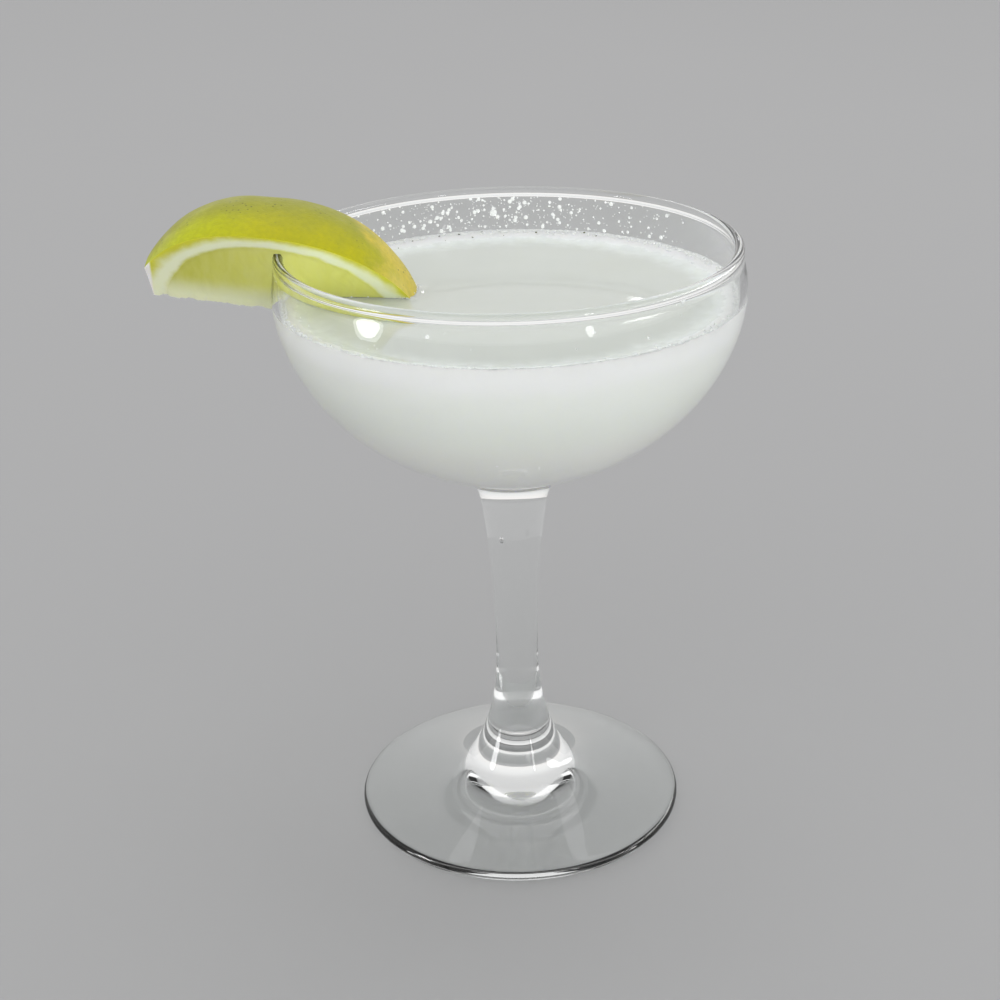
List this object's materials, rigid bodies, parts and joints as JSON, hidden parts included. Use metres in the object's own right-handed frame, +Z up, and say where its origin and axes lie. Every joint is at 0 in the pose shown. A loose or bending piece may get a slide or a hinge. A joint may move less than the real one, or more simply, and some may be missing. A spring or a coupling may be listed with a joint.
{
  "type": "margarita cocktail",
  "caption": "Stemmed coupe glass of cloudy pale green-white cocktail with a froth collar and a lime wedge slit onto its rim.",
  "frame": {"origin": "centre of the foot's flat underside, on the glass's axis", "axes": "+Z up along the glass's axis; the lime wedge hangs on the rim at -X, with its length along X, and a viewer at the picture's side stands at -Y"},
  "size_m": [0.1213, 0.0956, 0.1375],
  "materials": {
    "clear_glass": "clear soda-lime glass, fire-polished",
    "cloudy_drink": "cloudy liquid: lime juice, orange liqueur and tequila, with a collar of fine froth",
    "lime": "waxy pored lime peel, pale pith and wet juicy flesh"
  },
  "bodies": {
    "root": {"coupe_glass": "clear_glass", "drink": "cloudy_drink", "lime_wedge": "lime"}
  },
  "joints": []
}
